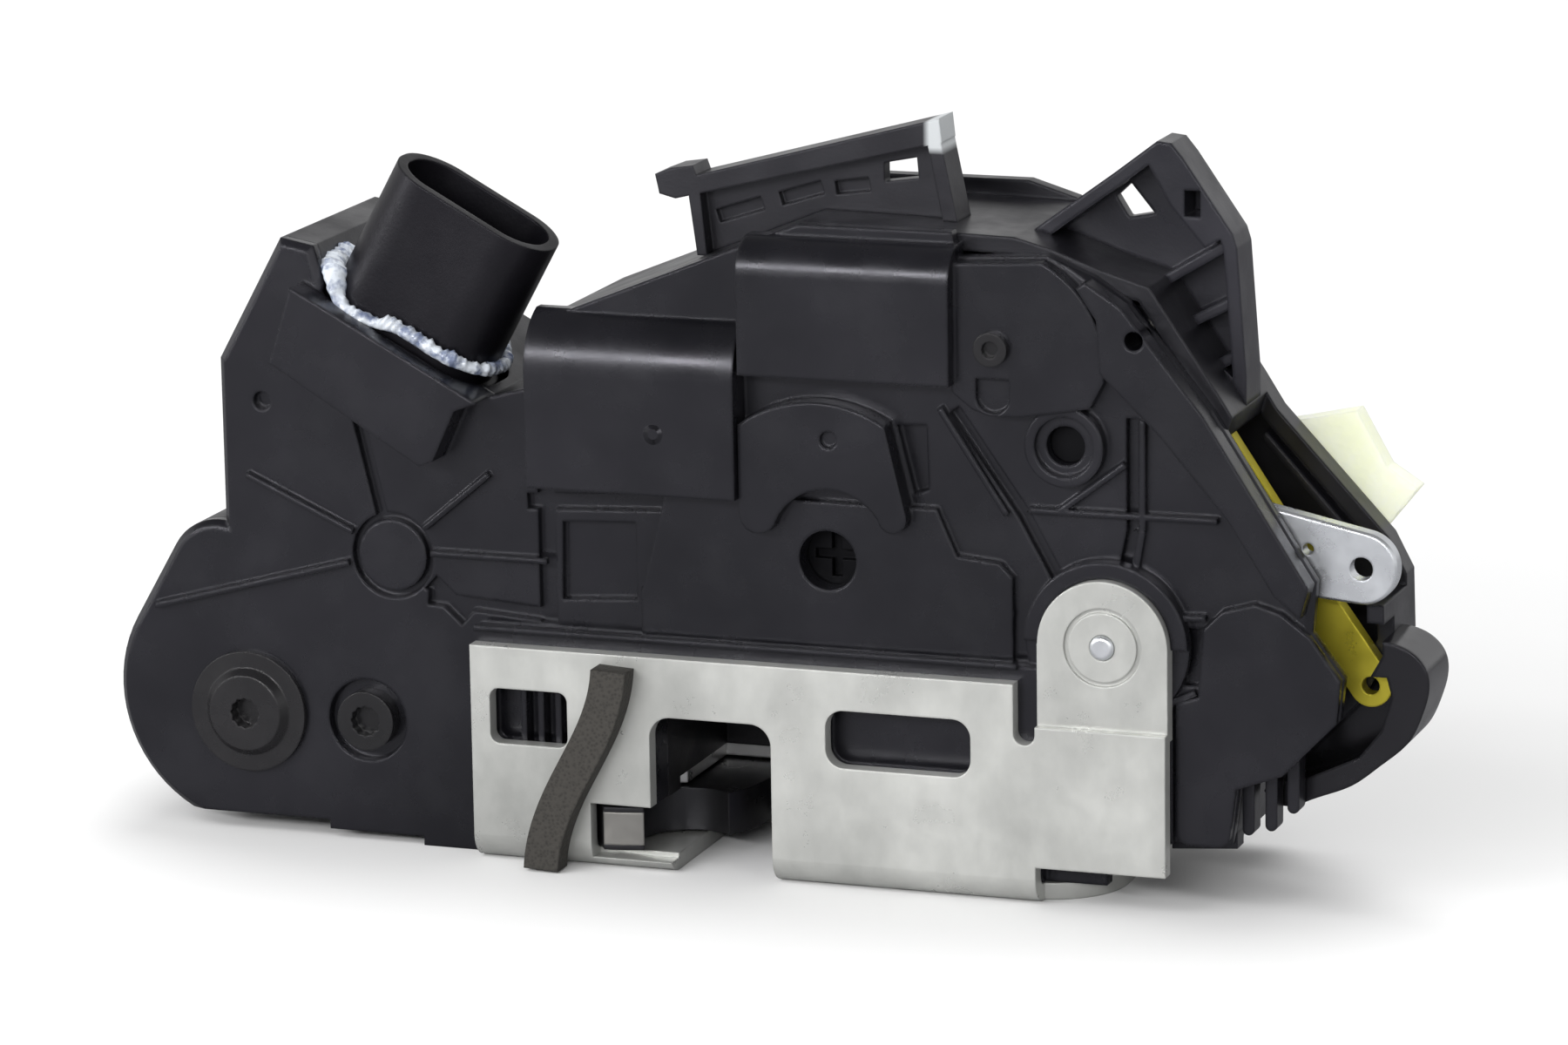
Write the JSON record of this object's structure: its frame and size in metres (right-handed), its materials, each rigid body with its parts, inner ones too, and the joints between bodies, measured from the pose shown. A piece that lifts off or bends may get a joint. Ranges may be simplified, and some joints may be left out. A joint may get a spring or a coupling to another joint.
{
  "type": "door latch actuator",
  "caption": "Car door latch with its lock actuator: a fork catch behind a steel face plate, motor-driven lock gears and release levers in a flat black plastic housing.",
  "frame": {"origin": "axis of the latched striker where it crosses the mounting face", "axes": "+X along the face plate towards the levers, +Y into the door away from the striker's way in, +Z off the mounting face into the housing"},
  "size_m": [0.1615, 0.051, 0.0894],
  "materials": {
    "housing_plastic": "satin moulded, charcoal black",
    "jacket_plastic": "satin",
    "gear_plastic": "natural acetal",
    "switch_plastic": "satin",
    "zinc_plate": "dull zinc plate",
    "white_zinc": "bright zinc plate",
    "yellow_zinc": "yellow chromate",
    "bare_steel": "oiled",
    "spring_steel": "oiled",
    "motor_steel": "plated",
    "black_steel": "black phosphate",
    "tinned_brass": "tinned",
    "silicone": "clear cured sealant",
    "buffer_rubber": "moulded",
    "pale_foam": "soft closed-cell pad",
    "dark_foam": "closed-cell strip"
  },
  "bodies": {
    "housing": {"front_cover": "housing_plastic", "rear_housing": "housing_plastic", "latch_case": "housing_plastic", "face_plate": "zinc_plate", "counter_plate": "zinc_plate", "catch_pin": "bare_steel", "pawl_pin": "bare_steel", "catch_spring": "spring_steel", "pawl_spring": "spring_steel", "striker_buffer": "buffer_rubber", "pawl_switch": "switch_plastic", "lock_motor": "motor_steel", "safe_motor": "motor_steel", "plug": "housing_plastic", "plug_pins": "tinned_brass", "sealing_bead": "silicone", "circuit_carrier": "switch_plastic", "lock_switches": "switch_plastic", "outer_lever_pin": "bare_steel", "inner_lever_pin": "bare_steel", "cable_bracket": "housing_plastic", "clip_bracket": "housing_plastic", "guide_hood": "housing_plastic", "foam_pad": "pale_foam", "foam_strip": "dark_foam", "flange_screw": "black_steel", "sunk_screw": "black_steel", "small_screw": "black_steel", "plate_rivet": "white_zinc"},
    "catch": {"catch": "bare_steel", "catch_jacket": "jacket_plastic"},
    "pawl": {"pawl": "bare_steel", "pawl_jacket": "jacket_plastic"},
    "lock_worm": {"lock_worm": "gear_plastic"},
    "lock_gear": {"lock_gear": "gear_plastic"},
    "safe_worm": {"safe_worm": "gear_plastic"},
    "safe_gear": {"safe_gear": "gear_plastic"},
    "key_driver": {"key_driver": "jacket_plastic"},
    "outer_lever": {"outer_release_lever": "white_zinc"},
    "inner_lever": {"inner_release_lever": "yellow_zinc"}
  },
  "joints": [
    {"name": "catch_turn", "type": "hinge", "parent": "housing", "child": "catch", "pos_m": [-0.0165, 0, 0.005], "axis": [0, 0, 1], "range_deg": [0, 52]},
    {"name": "pawl_turn", "type": "hinge", "parent": "housing", "child": "pawl", "pos_m": [0.014, 0.014, 0.005], "axis": [0, 0, 1], "range_deg": [-12, 0], "stiffness_Nm_per_rad": 0.05, "springref_deg": 11.46},
    {"name": "outer_lever_turn", "type": "hinge", "parent": "housing", "child": "outer_lever", "pos_m": [0.058, -0.0114, 0.0436], "axis": [0, -1, 0], "range_deg": [-20, 0]},
    {"name": "inner_lever_turn", "type": "hinge", "parent": "housing", "child": "inner_lever", "pos_m": [0.0665, -0.0058, 0.0379], "axis": [0, -1, 0], "range_deg": [0, 9]},
    {"name": "key_turn", "type": "hinge", "parent": "housing", "child": "key_driver", "pos_m": [0.0127, -0.0091, 0.0387], "axis": [0, -1, 0], "range_deg": [-40, 40]},
    {"name": "lock_gear_turn", "type": "hinge", "parent": "housing", "child": "lock_gear", "pos_m": [0.0127, -0.0091, 0.0387], "axis": [0, -1, 0], "range_deg": [-25, 25]},
    {"name": "lock_worm_spin", "type": "hinge", "parent": "housing", "child": "lock_worm", "pos_m": [0.0127, -0.0091, 0.0555], "axis": [1, 0, 0], "range_deg": [-900, 900]},
    {"name": "safe_gear_turn", "type": "hinge", "parent": "housing", "child": "safe_gear", "pos_m": [0.0415, -0.0091, 0.0539], "axis": [0, -1, 0], "range_deg": [-25, 25]},
    {"name": "safe_worm_spin", "type": "hinge", "parent": "housing", "child": "safe_worm", "pos_m": [0.0415, -0.0091, 0.0677], "axis": [1, 0, 0], "range_deg": [-700, 700]}
  ],
  "couplings": [
    {"joint": "lock_worm_spin", "follows": "lock_gear_turn", "ratio": 36},
    {"joint": "safe_worm_spin", "follows": "safe_gear_turn", "ratio": 28}
  ]
}
